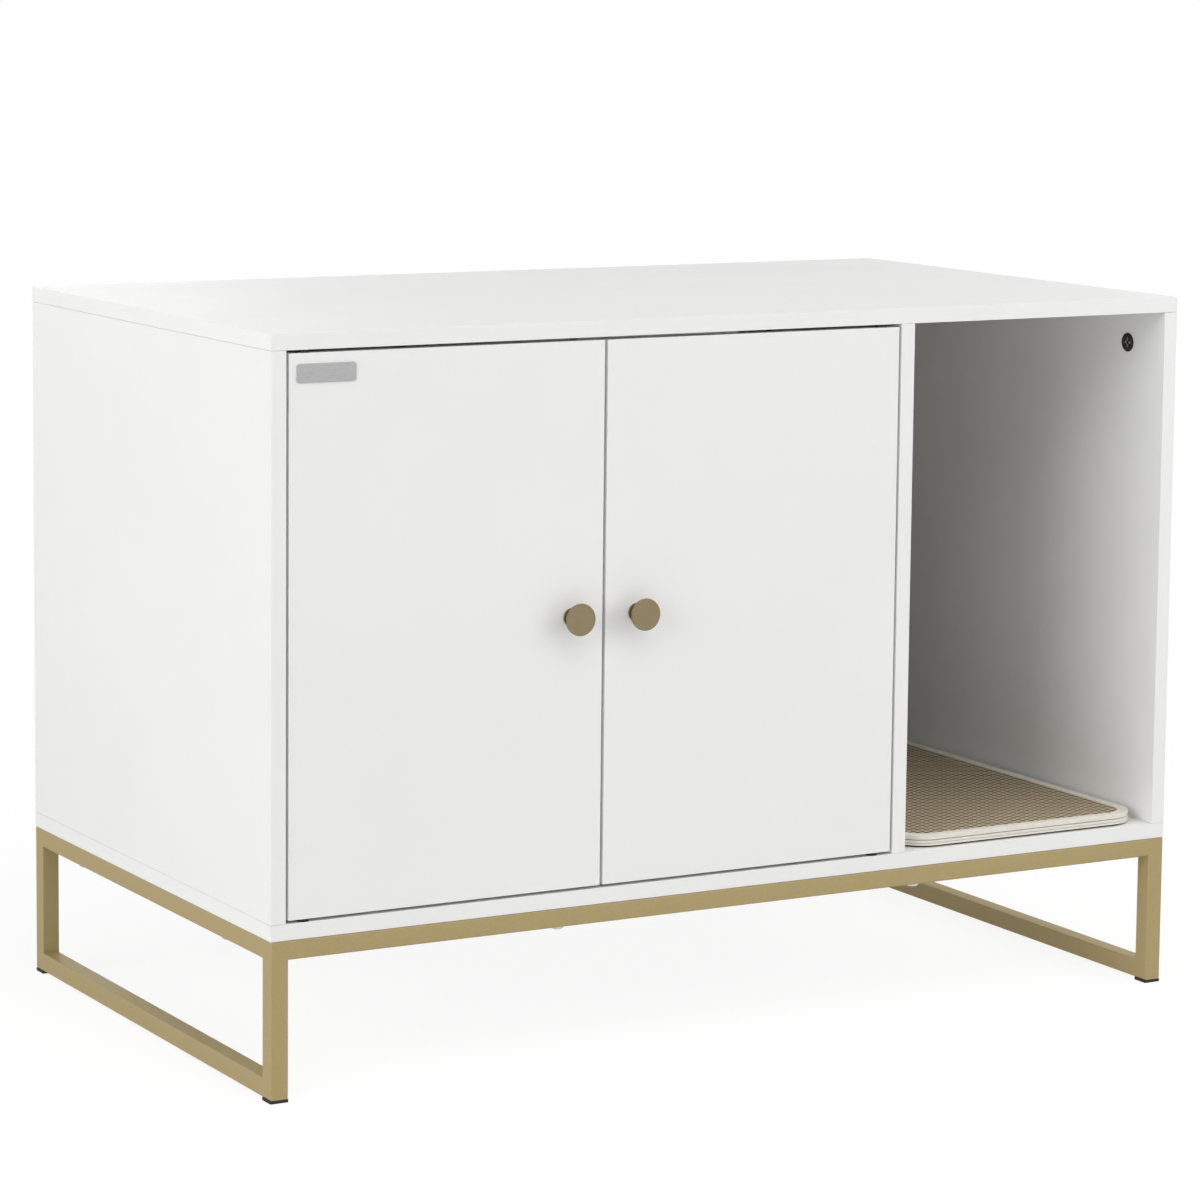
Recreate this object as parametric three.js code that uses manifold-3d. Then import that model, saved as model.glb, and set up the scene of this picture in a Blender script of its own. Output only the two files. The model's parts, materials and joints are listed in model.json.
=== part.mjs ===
// A cat litter box cabinet: a white board carcass on a base of square steel tube. Two
// inset doors close the litter compartment. The divider stops short of the back panel,
// and the cat walks behind it to an open compartment with a mat on its floor.
// Lengths are in millimetres. +X is the cabinet's right, -Y its front and +Z up. The
// origin is on the floor, under the middle of the whole cabinet with its knobs.

import * as THREE from 'three';
import { mergeVertices } from 'three/addons/utils/BufferGeometryUtils.js';
import Module from 'manifold-3d';

const wasm = await Module();
wasm.setup();

// Carcass
const WIDTH = 1000;
const DEPTH = 560; // front edge to back edge of the boards
const HEIGHT = 700; // floor to the top face
const BOARD = 15;
const OPEN_COMPARTMENT = 300; // clear width between the divider and the right side
const DIVIDER_DEPTH = 300; // its back edge leaves a passage in front of the back panel
const SEAM = 0.2; // hairline between parts that meet
const FIT = 0.3; // slack all round a part that sits in a hole or a groove

// Back panel, held in grooves
const BACK_BOARD = 5;
const BACK_INSET = 10; // carcass back edge to the panel
const GROOVE = 5;

// Doors
const DOOR_BOARD = 15;
const DOOR_SIDE_GAP = 3;
const DOOR_END_GAP = 3; // above and below each door
const DOOR_MIDDLE_GAP = 3.5;

// Pivots: a pin with a collar in each end of a door turns in a bush in the board
const PIVOT_INSET = 17; // hinge edge of the door to the axis
const PIN_RADIUS = 2.5;
const PIN_SLACK = 0.3; // all round the pin, so that it turns
const PIN_END_SLACK = 1;
const COLLAR_RADIUS = 5;
const COLLAR_SLACK = 0.5;
const PLUG_RADIUS = 4;
const PLUG_LENGTH = 14; // into the door
const BUSH_WALL = 3.2;
const BUSH_FLOOR = 2;
const BUSH_WEB = 4; // board left past the bush

// Knobs
const KNOB_RADIUS = 15.25;
const KNOB_PROJECTION = 19;
const KNOB_RIM = 2;
const KNOB_BEVEL = 0.5;
const KNOB_FOOT_RADIUS = 7.2;
const KNOB_FOOT_HEIGHT = 2;
const KNOB_WAIST_RADIUS = 5.6;
const KNOB_INSET = 33; // free edge of the door to the knob's axis
const KNOB_SCREW_RADIUS = 2;
const KNOB_SCREW_BITE = 9; // into the knob
const KNOB_SCREW_HEAD_RADIUS = 4.2;
const KNOB_SCREW_HEAD_HEIGHT = 2.6;

// Bare plate on the left door
const PLATE_WIDTH = 59;
const PLATE_HEIGHT = 17;
const PLATE_THICKNESS = 1;
const PLATE_CORNER = 3;
const PLATE_SIDE_INSET = 7;
const PLATE_TOP_INSET = 9.5;

// Magnetic catch under the top panel, and the steel discs on the doors that it holds
const STRIKE_RADIUS = 7;
const STRIKE_THICKNESS = 1.5;
const STRIKE_INSET = 10; // free edge of the door to the disc's centre
const STRIKE_DROP = 10; // top edge of the door to the disc's centre
const STRIKE_PIN_RADIUS = 1.5;
const STRIKE_WEB = 7; // door left past the disc's pin
const CATCH_MARGIN = 4; // of the housing round the discs
const CATCH_DEPTH = 14;
const CATCH_GAP = 0.5; // housing to disc, door closed
const CATCH_PEG_RADIUS = 2.5;
const CATCH_PEG_WEB = 6; // top panel left over the pegs

// Base of square tube
const BASE_HEIGHT = 150; // floor to the underside of the carcass
const TUBE = 18;
const TUBE_WALL = 1.2;
const TUBE_CORNER = 1.5;
const PAD_HEIGHT = 3;
const PAD_PLUG = 10; // of the pad, up inside the leg

// Bolts up through the base rails
const BOLT_RADIUS = 3;
const BOLT_WEB = 2; // board left between a bolt's tip and the back groove
const BOLT_HEAD_RADIUS = 6.5;
const BOLT_HEAD_HEIGHT = 3.5;
const LONG_RAIL_BOLT_INSET = 300; // from the cabinet's left and right
const SIDE_RAIL_BOLT_INSET = 110; // from its front and back

// Cam locks near the top of the upright boards
const CAM_RADIUS = 7.5;
const CAM_WEB = 3; // board left behind the cam
const CAM_CAP_RADIUS = 9;
const CAM_CAP_HEIGHT = 1.4;
const CAM_DROP = 35; // top panel to the cam's centre
const CAM_INSET = 60; // from the cabinet's front and back

// Assembly screws up through the bottom panel into the upright boards
const SCREW_RADIUS = 2.5;
const SCREW_HEAD_RADIUS = 5;
const SCREW_HEAD_HEIGHT = 3;
const SCREW_BITE = 35; // into the upright board
const SCREW_INSET = 60; // from the cabinet's front and back

// Cross recess in the head of a screw, bolt or cam, as parts of the head's radius
const RECESS_SPAN = 1.1;
const RECESS_WIDTH = 0.24;
const RECESS_DEPTH = 1.2;

// Mat
const MAT_THICKNESS = 11;
const MAT_CORNER = 35;
const MAT_BORDER = 13;
const MAT_SIDE_GAP = 8;
const MAT_FRONT_INSET = 6;
const MAT_BACK_GAP = 29;
const MAT_RECESS = 3;
const MAT_RECESS_DROP = 0.5; // honeycomb sheet below the border's top

// Fineness of round shapes
const ROUND = 16;
const KNOB_ROUND = 30;
const CORNER_STEPS = 6;
const TUBE_CORNER_STEPS = 2;

// Planes and lines that several parts share
const LEFT = -WIDTH / 2;
const RIGHT = WIDTH / 2;
const BACK = (DEPTH + KNOB_PROJECTION) / 2;
const FRONT = BACK - DEPTH;
const FLOOR = BASE_HEIGHT + BOARD;
const CEILING = HEIGHT - BOARD;
const INSIDE_LEFT = LEFT + BOARD;
const INSIDE_RIGHT = RIGHT - BOARD;
const DIVIDER_RIGHT = INSIDE_RIGHT - OPEN_COMPARTMENT;
const DIVIDER_LEFT = DIVIDER_RIGHT - BOARD;
const DIVIDER_BACK = FRONT + DIVIDER_DEPTH;
const BACK_PANEL_REAR = BACK - BACK_INSET;
const BACK_PANEL_FRONT = BACK_PANEL_REAR - BACK_BOARD;
const DOOR_REAR = FRONT + DOOR_BOARD;
const DOOR_BOTTOM = FLOOR + DOOR_END_GAP;
const DOOR_TOP = CEILING - DOOR_END_GAP;
const DOOR_WIDTH = (DIVIDER_LEFT - INSIDE_LEFT - 2 * DOOR_SIDE_GAP - DOOR_MIDDLE_GAP) / 2;
const PIVOT_Y = FRONT + DOOR_BOARD / 2;
const PLUG_DEPTH = PLUG_LENGTH + FIT;
const BUSH_BORE = PIN_RADIUS + PIN_SLACK;
const BUSH_RADIUS = BUSH_BORE + BUSH_WALL;
const BUSH_LENGTH = BOARD - BUSH_WEB;
const BUSH_BORE_DEPTH = BUSH_LENGTH - BUSH_FLOOR;
const PIN_REACH = BUSH_BORE_DEPTH - PIN_END_SLACK;
const STRIKE_PIN_LENGTH = DOOR_BOARD - STRIKE_WEB;
const CATCH_PEG_LENGTH = BOARD - CATCH_PEG_WEB;
const BOLT_BITE = BOARD - GROOVE - BOLT_WEB;
const CATCH_FRONT = DOOR_REAR + STRIKE_THICKNESS + CATCH_GAP;
const CAM_DEPTH = BOARD - CAM_WEB;

const UP = new THREE.Vector3(0, 0, 1);
const DOWN = new THREE.Vector3(0, 0, -1);
const TO_RIGHT = new THREE.Vector3(1, 0, 0);
const TO_LEFT = new THREE.Vector3(-1, 0, 0);
const TO_FRONT = new THREE.Vector3(0, -1, 0);
const TO_BACK = new THREE.Vector3(0, 1, 0);

// What stands where along one door, from its hinge edge towards its free edge
function doorLines(side, hingeEdge, inward) {
  const freeEdge = hingeEdge + inward * DOOR_WIDTH;
  return {
    side,
    hingeEdge,
    freeEdge,
    pivotX: hingeEdge + inward * PIVOT_INSET,
    knobX: freeEdge - inward * KNOB_INSET,
    strikeX: freeEdge - inward * STRIKE_INSET,
  };
}

const LEFT_DOOR = doorLines('left', INSIDE_LEFT + DOOR_SIDE_GAP, 1);
const RIGHT_DOOR = doorLines('right', DIVIDER_LEFT - DOOR_SIDE_GAP, -1);
const DOORS = [LEFT_DOOR, RIGHT_DOOR];
const KNOB_Z = (DOOR_BOTTOM + DOOR_TOP) / 2;
const STRIKE_Z = DOOR_TOP - STRIKE_DROP;

// The front and back ends of something between the cabinet's front and a line behind it
const endsTo = (back) => [
  { end: 'front', edge: FRONT, inward: 1 },
  { end: 'back', edge: back, inward: -1 },
];
const ENDS = endsTo(BACK);
const SIDES = [
  { side: 'left', edge: LEFT, inward: 1 },
  { side: 'right', edge: RIGHT, inward: -1 },
];

// The boards that stand on the bottom panel: their ends, the middle of each one's
// thickness, the face that its cams are in, and the way that those face
const LEFT_SIDE = {
  name: 'left_side',
  ends: ENDS,
  middle: LEFT + BOARD / 2,
  camFace: INSIDE_LEFT,
  camFacing: TO_RIGHT,
};
const DIVIDER = {
  name: 'divider',
  ends: endsTo(DIVIDER_BACK),
  middle: DIVIDER_LEFT + BOARD / 2,
  camFace: DIVIDER_LEFT,
  camFacing: TO_LEFT,
};
const RIGHT_SIDE = {
  name: 'right_side',
  ends: ENDS,
  middle: RIGHT - BOARD / 2,
  camFace: INSIDE_RIGHT,
  camFacing: TO_LEFT,
};
const UPRIGHTS = [LEFT_SIDE, DIVIDER, RIGHT_SIDE];

// Materials

const material = (color, roughness, metalness) => (
  new THREE.MeshStandardMaterial({ color, roughness, metalness })
);
const WHITE_BOARD = material('#efefee', 0.45, 0);
const WHITE_HARDBOARD = material('#e9e8e4', 0.6, 0);
const GOLD_STEEL = material('#a8976e', 0.45, 0.3);
const BRONZE_METAL = material('#8f8165', 0.45, 0.4);
const ZINC_STEEL = material('#bfc1c2', 0.35, 0.9);
const GREY_PLATE = material('#b2b2b2', 0.45, 0.3);
const BLACK_PLASTIC = material('#1b1a19', 0.6, 0);
const WHITE_PLASTIC = material('#e6e6e3', 0.5, 0);
const BLACK_RUBBER = material('#161413', 0.85, 0);
const CREAM_BINDING = material('#e4e0d6', 0.8, 0);
const TAN_FOAM = material('#9a8b70', 0.85, 0);

// Solids: every cutter and addition is given in the frame of the geometry that it changes

function solid(geometry) {
  const bare = geometry.clone();
  bare.deleteAttribute('normal');
  bare.deleteAttribute('uv');
  const merged = mergeVertices(bare);
  const corners = [];
  for (let i = 0; i < merged.index.count; i += 3) {
    const [a, b, c] = [0, 1, 2].map((step) => merged.index.getX(i + step));
    const hasArea = a !== b && b !== c && c !== a;
    if (hasArea) corners.push(a, b, c);
  }
  return new wasm.Manifold(new wasm.Mesh({
    numProp: 3,
    vertProperties: new Float32Array(merged.attributes.position.array),
    triVerts: new Uint32Array(corners),
  }));
}

function geometryOf(body) {
  const { vertProperties, triVerts } = body.getMesh();
  const geometry = new THREE.BufferGeometry();
  geometry.setAttribute('position', new THREE.BufferAttribute(vertProperties, 3));
  geometry.setIndex(new THREE.BufferAttribute(triVerts, 1));
  geometry.computeVertexNormals();
  return geometry;
}

function cut(geometry, cutters) {
  return geometryOf(cutters.reduce((body, cutter) => body.subtract(solid(cutter)), solid(geometry)));
}

function join(geometry, additions) {
  return geometryOf(additions.reduce((body, added) => body.add(solid(added)), solid(geometry)));
}

function boxBetween(low, high) {
  const size = high.map((value, axis) => value - low[axis]);
  const middle = high.map((value, axis) => (value + low[axis]) / 2);
  return new THREE.BoxGeometry(...size).translate(...middle);
}

// A round bar from one point to another
function bar(from, to, radius) {
  const start = new THREE.Vector3(...from);
  const along = new THREE.Vector3(...to).sub(start);
  const geometry = new THREE.CylinderGeometry(radius, radius, along.length(), ROUND);
  geometry.rotateX(Math.PI / 2);
  geometry.applyQuaternion(new THREE.Quaternion().setFromUnitVectors(UP, along.clone().normalize()));
  const middle = start.addScaledVector(along, 0.5);
  return geometry.translate(middle.x, middle.y, middle.z);
}

// A turned part on the Z axis, from pairs of radius and height
function turned(profile, segments = ROUND) {
  const points = profile.map(([radius, height]) => new THREE.Vector2(radius, height));
  return new THREE.LatheGeometry(points, segments).rotateX(Math.PI / 2);
}

// An outline on the XY plane, its middle at the origin
function roundedRectangle(width, height, corner) {
  const x = width / 2;
  const y = height / 2;
  const shape = new THREE.Shape();
  shape.moveTo(corner - x, -y);
  shape.lineTo(x - corner, -y);
  shape.absarc(x - corner, corner - y, corner, -Math.PI / 2, 0);
  shape.lineTo(x, y - corner);
  shape.absarc(x - corner, y - corner, corner, 0, Math.PI / 2);
  shape.lineTo(corner - x, y);
  shape.absarc(corner - x, y - corner, corner, Math.PI / 2, Math.PI);
  shape.lineTo(-x, corner - y);
  shape.absarc(corner - x, corner - y, corner, Math.PI, Math.PI * 1.5);
  return shape;
}

function slab(shape, thickness, curveSegments = CORNER_STEPS) {
  return new THREE.ExtrudeGeometry(shape, { depth: thickness, bevelEnabled: false, curveSegments });
}

// Cuts a cross recess into the top of a head, at a height on the Z axis
function withRecess(geometry, headRadius, top) {
  const span = headRadius * RECESS_SPAN / 2;
  const width = headRadius * RECESS_WIDTH / 2;
  const low = top - RECESS_DEPTH;
  const high = top + RECESS_DEPTH;
  return cut(geometry, [
    boxBetween([-span, -width, low], [span, width, high]),
    boxBetween([-width, -span, low], [width, span, high]),
  ]);
}

function part(name, geometry, finish, [x, y, z] = [0, 0, 0], facing = UP) {
  const mesh = new THREE.Mesh(geometry, finish);
  mesh.name = name;
  mesh.position.set(x, y, z);
  mesh.quaternion.setFromUnitVectors(UP, facing);
  return mesh;
}

// A flat board between two corners, less cutters that are placed in the cabinet's frame
function board(name, low, high, cutters = [], finish = WHITE_BOARD) {
  const plain = boxBetween(low, high);
  const geometry = cutters.length ? cut(plain, cutters) : plain;
  const middle = high.map((value, axis) => (value + low[axis]) / 2);
  geometry.translate(...middle.map((value) => -value));
  return part(name, geometry, finish, middle);
}

// Places that repeat

const insetFrom = (edge, inward, inset) => edge + inward * inset;

function eachUprightEnd(make) {
  return UPRIGHTS.flatMap((upright) => upright.ends.map((end) => make(upright, end)));
}

// Front and back rails run between the left and right legs, side rails between the others
function railBolts() {
  const places = [];
  for (const { end, edge, inward } of ENDS) {
    for (const cabinet of SIDES) {
      places.push({
        name: `${end}_rail_${cabinet.side}_bolt`,
        x: insetFrom(cabinet.edge, cabinet.inward, LONG_RAIL_BOLT_INSET),
        y: insetFrom(edge, inward, TUBE / 2),
      });
    }
  }
  for (const { side, edge, inward } of SIDES) {
    for (const cabinet of ENDS) {
      places.push({
        name: `${side}_rail_${cabinet.end}_bolt`,
        x: insetFrom(edge, inward, TUBE / 2),
        y: insetFrom(cabinet.edge, cabinet.inward, SIDE_RAIL_BOLT_INSET),
      });
    }
  }
  return places;
}

const RAIL_BOLTS = railBolts();

// Carcass

function backGroove(low, high) {
  return boxBetween(
    [low[0], BACK_PANEL_FRONT - FIT, low[1]],
    [high[0], BACK_PANEL_REAR + FIT, high[1]],
  );
}

function topPanel() {
  const groove = backGroove([INSIDE_LEFT - GROOVE, CEILING - 1], [INSIDE_RIGHT + GROOVE, CEILING + GROOVE]);
  const bushHoles = DOORS.map(({ pivotX }) => (
    bar([pivotX, PIVOT_Y, CEILING - 1], [pivotX, PIVOT_Y, CEILING + BUSH_LENGTH + FIT], BUSH_RADIUS + FIT)
  ));
  const pegHoles = DOORS.map(({ strikeX }) => (
    bar(
      [strikeX, CATCH_FRONT + CATCH_DEPTH / 2, CEILING - 1],
      [strikeX, CATCH_FRONT + CATCH_DEPTH / 2, CEILING + CATCH_PEG_LENGTH + FIT],
      CATCH_PEG_RADIUS + FIT,
    )
  ));
  return board('top_panel', [LEFT, FRONT, CEILING], [RIGHT, BACK, HEIGHT],
    [groove, ...bushHoles, ...pegHoles]);
}

function screwHole(x, y) {
  return turned([
    [0, -1],
    [SCREW_HEAD_RADIUS + FIT, -1],
    [SCREW_HEAD_RADIUS + FIT, SEAM],
    [SCREW_RADIUS + FIT, SCREW_HEAD_HEIGHT + SEAM],
    [SCREW_RADIUS + FIT, BOARD + 1],
    [0, BOARD + 1],
  ]).translate(x, y, BASE_HEIGHT);
}

function bottomPanel() {
  const groove = backGroove([INSIDE_LEFT - GROOVE, FLOOR - GROOVE], [INSIDE_RIGHT + GROOVE, FLOOR + 1]);
  const bushHoles = DOORS.map(({ pivotX }) => (
    bar([pivotX, PIVOT_Y, FLOOR - BUSH_LENGTH - FIT], [pivotX, PIVOT_Y, FLOOR + 1], BUSH_RADIUS + FIT)
  ));
  const boltHoles = RAIL_BOLTS.map(({ x, y }) => (
    bar([x, y, BASE_HEIGHT - 1], [x, y, BASE_HEIGHT + BOLT_BITE + FIT], BOLT_RADIUS + FIT)
  ));
  const screwHoles = eachUprightEnd(({ middle }, { edge, inward }) => (
    screwHole(middle, insetFrom(edge, inward, SCREW_INSET))
  ));
  return board('bottom_panel', [LEFT, FRONT, BASE_HEIGHT], [RIGHT, BACK, FLOOR],
    [groove, ...bushHoles, ...boltHoles, ...screwHoles]);
}

// The holes that every upright board has for its cams and assembly screws
function uprightHoles({ ends, middle, camFace, camFacing }) {
  return ends.flatMap(({ edge, inward }) => {
    const camY = insetFrom(edge, inward, CAM_INSET);
    const screwY = insetFrom(edge, inward, SCREW_INSET);
    const camZ = CEILING - CAM_DROP;
    return [
      bar(
        [camFace - camFacing.x * (CAM_DEPTH + FIT), camY, camZ],
        [camFace + camFacing.x, camY, camZ],
        CAM_RADIUS + FIT,
      ),
      bar([middle, screwY, FLOOR - 1], [middle, screwY, FLOOR + SCREW_BITE + FIT], SCREW_RADIUS + FIT),
    ];
  });
}

// A side panel lies half its thickness either side of its middle, its cams' face inwards
function sidePanel(upright) {
  const groove = backGroove(
    [upright.camFace - GROOVE, FLOOR - 1],
    [upright.camFace + GROOVE, CEILING + 1],
  );
  return board(
    `${upright.name}_panel`,
    [upright.middle - BOARD / 2, FRONT, FLOOR + SEAM],
    [upright.middle + BOARD / 2, BACK, CEILING - SEAM],
    [groove, ...uprightHoles(upright)],
  );
}

function dividerPanel() {
  return board(
    'divider_panel',
    [DIVIDER_LEFT, FRONT, FLOOR + SEAM],
    [DIVIDER_RIGHT, DIVIDER_BACK, CEILING - SEAM],
    uprightHoles(DIVIDER),
  );
}

function backPanel() {
  const reach = GROOVE - FIT;
  return board(
    'back_panel',
    [INSIDE_LEFT - reach, BACK_PANEL_FRONT, FLOOR - reach],
    [INSIDE_RIGHT + reach, BACK_PANEL_REAR, CEILING + reach],
    [],
    WHITE_HARDBOARD,
  );
}

function carcass() {
  return [
    topPanel(),
    bottomPanel(),
    sidePanel(LEFT_SIDE),
    sidePanel(RIGHT_SIDE),
    dividerPanel(),
    backPanel(),
  ];
}

function camLocks() {
  const body = withRecess(turned([
    [0, -CAM_DEPTH],
    [CAM_RADIUS, -CAM_DEPTH],
    [CAM_RADIUS, SEAM],
    [CAM_CAP_RADIUS, SEAM],
    [CAM_CAP_RADIUS, CAM_CAP_HEIGHT / 2],
    [CAM_CAP_RADIUS - CAM_CAP_HEIGHT / 2, CAM_CAP_HEIGHT],
    [0, CAM_CAP_HEIGHT],
  ]), CAM_CAP_RADIUS, CAM_CAP_HEIGHT);
  return eachUprightEnd(({ name, camFace, camFacing }, { end, edge, inward }) => part(
    `${name}_${end}_cam_lock`,
    body.clone(),
    BLACK_PLASTIC,
    [camFace, insetFrom(edge, inward, CAM_INSET), CEILING - CAM_DROP],
    camFacing,
  ));
}

function assemblyScrews() {
  const tip = BOARD + SCREW_BITE;
  const body = turned([
    [0, SEAM],
    [SCREW_HEAD_RADIUS, SEAM],
    [SCREW_RADIUS, SCREW_HEAD_HEIGHT + SEAM],
    [SCREW_RADIUS, tip - SCREW_RADIUS],
    [0, tip],
  ]);
  const recessed = withRecess(body.rotateX(Math.PI), SCREW_HEAD_RADIUS, -SEAM);
  return eachUprightEnd(({ name, middle }, { end, edge, inward }) => part(
    `${name}_${end}_screw`,
    recessed.clone(),
    ZINC_STEEL,
    [middle, insetFrom(edge, inward, SCREW_INSET), BASE_HEIGHT],
    DOWN,
  ));
}

function magneticCatch() {
  const margin = STRIKE_RADIUS + CATCH_MARGIN;
  const housing = boxBetween(
    [LEFT_DOOR.strikeX - margin, CATCH_FRONT, STRIKE_Z - STRIKE_RADIUS],
    [RIGHT_DOOR.strikeX + margin, CATCH_FRONT + CATCH_DEPTH, CEILING - SEAM],
  );
  const pegY = CATCH_FRONT + CATCH_DEPTH / 2;
  const pegs = DOORS.map(({ strikeX }) => (
    bar([strikeX, pegY, STRIKE_Z], [strikeX, pegY, CEILING + CATCH_PEG_LENGTH], CATCH_PEG_RADIUS)
  ));
  return part('magnetic_catch', join(housing, pegs), WHITE_PLASTIC);
}

// Doors

function pivotPins({ side, pivotX }) {
  const body = turned([
    [0, -DOOR_END_GAP - PIN_REACH],
    [PIN_RADIUS, -DOOR_END_GAP - PIN_REACH],
    [PIN_RADIUS, COLLAR_SLACK - DOOR_END_GAP],
    [COLLAR_RADIUS, COLLAR_SLACK - DOOR_END_GAP],
    [COLLAR_RADIUS, -SEAM],
    [PLUG_RADIUS, -SEAM],
    [PLUG_RADIUS, PLUG_LENGTH],
    [0, PLUG_LENGTH],
  ]);
  return [
    part(`${side}_lower_pivot_pin`, body, BLACK_PLASTIC, [pivotX, PIVOT_Y, DOOR_BOTTOM], UP),
    part(`${side}_upper_pivot_pin`, body.clone(), BLACK_PLASTIC, [pivotX, PIVOT_Y, DOOR_TOP], DOWN),
  ];
}

function pivotBushes({ side, pivotX }) {
  const body = turned([
    [0, -BUSH_LENGTH],
    [BUSH_RADIUS, -BUSH_LENGTH],
    [BUSH_RADIUS, 0],
    [BUSH_BORE, 0],
    [BUSH_BORE, -BUSH_BORE_DEPTH],
    [0, -BUSH_BORE_DEPTH],
  ]);
  return [
    part(`${side}_lower_pivot_bush`, body, BLACK_PLASTIC, [pivotX, PIVOT_Y, FLOOR], UP),
    part(`${side}_upper_pivot_bush`, body.clone(), BLACK_PLASTIC, [pivotX, PIVOT_Y, CEILING], DOWN),
  ];
}

function doorBoard({ side, hingeEdge, freeEdge, pivotX, knobX, strikeX }) {
  const plugHoles = [
    bar([pivotX, PIVOT_Y, DOOR_BOTTOM - 1], [pivotX, PIVOT_Y, DOOR_BOTTOM + PLUG_DEPTH], PLUG_RADIUS + FIT),
    bar([pivotX, PIVOT_Y, DOOR_TOP - PLUG_DEPTH], [pivotX, PIVOT_Y, DOOR_TOP + 1], PLUG_RADIUS + FIT),
  ];
  const knobHole = bar([knobX, FRONT - 1, KNOB_Z], [knobX, DOOR_REAR + 1, KNOB_Z], KNOB_SCREW_RADIUS + FIT);
  const strikeHole = bar(
    [strikeX, DOOR_REAR - STRIKE_PIN_LENGTH - FIT, STRIKE_Z],
    [strikeX, DOOR_REAR + 1, STRIKE_Z],
    STRIKE_PIN_RADIUS + FIT,
  );
  return board(
    `${side}_door`,
    [Math.min(hingeEdge, freeEdge), FRONT, DOOR_BOTTOM],
    [Math.max(hingeEdge, freeEdge), DOOR_REAR, DOOR_TOP],
    [...plugHoles, knobHole, strikeHole],
  );
}

// The knob flares from a narrow waist to a flat round face
function knob({ side, knobX }) {
  const boreRadius = KNOB_SCREW_RADIUS + FIT;
  const boreDepth = KNOB_SCREW_BITE + FIT;
  const flareStart = new THREE.Vector2(KNOB_FOOT_RADIUS, KNOB_FOOT_HEIGHT);
  const flareEnd = new THREE.Vector2(KNOB_RADIUS, KNOB_PROJECTION - KNOB_RIM);
  const flare = new THREE.CubicBezierCurve(
    flareStart,
    new THREE.Vector2(KNOB_WAIST_RADIUS - 1, KNOB_FOOT_HEIGHT + KNOB_PROJECTION / 4),
    new THREE.Vector2(KNOB_WAIST_RADIUS + 1, flareEnd.y),
    flareEnd,
  );
  const body = turned([
    [0, boreDepth],
    [boreRadius, boreDepth],
    [boreRadius, SEAM],
    [KNOB_FOOT_RADIUS, SEAM],
    ...flare.getPoints(CORNER_STEPS).map(({ x, y }) => [x, y]),
    [KNOB_RADIUS, KNOB_PROJECTION - KNOB_BEVEL],
    [KNOB_RADIUS - KNOB_BEVEL, KNOB_PROJECTION],
    [0, KNOB_PROJECTION],
  ], KNOB_ROUND);
  return part(`${side}_knob`, body, BRONZE_METAL, [knobX, FRONT, KNOB_Z], TO_FRONT);
}

function knobScrew({ side, knobX }) {
  const body = turned([
    [0, -DOOR_BOARD - KNOB_SCREW_BITE],
    [KNOB_SCREW_RADIUS, -DOOR_BOARD - KNOB_SCREW_BITE],
    [KNOB_SCREW_RADIUS, SEAM],
    [KNOB_SCREW_HEAD_RADIUS, SEAM],
    [KNOB_SCREW_HEAD_RADIUS, KNOB_SCREW_HEAD_HEIGHT / 2],
    [KNOB_SCREW_HEAD_RADIUS * 0.7, KNOB_SCREW_HEAD_HEIGHT],
    [0, KNOB_SCREW_HEAD_HEIGHT],
  ]);
  const recessed = withRecess(body, KNOB_SCREW_HEAD_RADIUS, KNOB_SCREW_HEAD_HEIGHT);
  return part(`${side}_knob_screw`, recessed, ZINC_STEEL, [knobX, DOOR_REAR, KNOB_Z], TO_BACK);
}

function strikeDisc({ side, strikeX }) {
  const body = turned([
    [0, -STRIKE_PIN_LENGTH],
    [STRIKE_PIN_RADIUS, -STRIKE_PIN_LENGTH],
    [STRIKE_PIN_RADIUS, SEAM],
    [STRIKE_RADIUS, SEAM],
    [STRIKE_RADIUS, STRIKE_THICKNESS],
    [0, STRIKE_THICKNESS],
  ]);
  return part(`${side}_strike_disc`, body, ZINC_STEEL, [strikeX, DOOR_REAR, STRIKE_Z], TO_BACK);
}

function namePlate({ hingeEdge }) {
  const body = slab(roundedRectangle(PLATE_WIDTH, PLATE_HEIGHT, PLATE_CORNER), PLATE_THICKNESS);
  const place = [
    hingeEdge + PLATE_SIDE_INSET + PLATE_WIDTH / 2,
    FRONT - SEAM,
    DOOR_TOP - PLATE_TOP_INSET - PLATE_HEIGHT / 2,
  ];
  return part('name_plate', body, GREY_PLATE, place, TO_FRONT);
}

function doorAssembly(door) {
  return [
    doorBoard(door),
    knob(door),
    knobScrew(door),
    strikeDisc(door),
    ...pivotPins(door),
    ...pivotBushes(door),
  ];
}

// Base

// A hollow square tube up the Z axis, drilled through from front to back at some heights
function tube(length, holes = []) {
  const outline = roundedRectangle(TUBE, TUBE, TUBE_CORNER);
  const inner = TUBE - 2 * TUBE_WALL;
  outline.holes.push(roundedRectangle(inner, inner, TUBE_CORNER / 2));
  const body = slab(outline, length, TUBE_CORNER_STEPS);
  const drills = holes.map((height) => (
    bar([0, -TUBE, height], [0, TUBE, height], BOLT_RADIUS + FIT)
  ));
  return drills.length ? cut(body, drills) : body;
}

function legs() {
  const body = tube(BASE_HEIGHT - PAD_HEIGHT - 2 * SEAM);
  return SIDES.flatMap((cabinet) => ENDS.map(({ end, edge, inward }) => part(
    `${cabinet.side}_${end}_leg`,
    body.clone(),
    GOLD_STEEL,
    [
      insetFrom(cabinet.edge, cabinet.inward, TUBE / 2),
      insetFrom(edge, inward, TUBE / 2),
      PAD_HEIGHT + SEAM,
    ],
  )));
}

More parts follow.
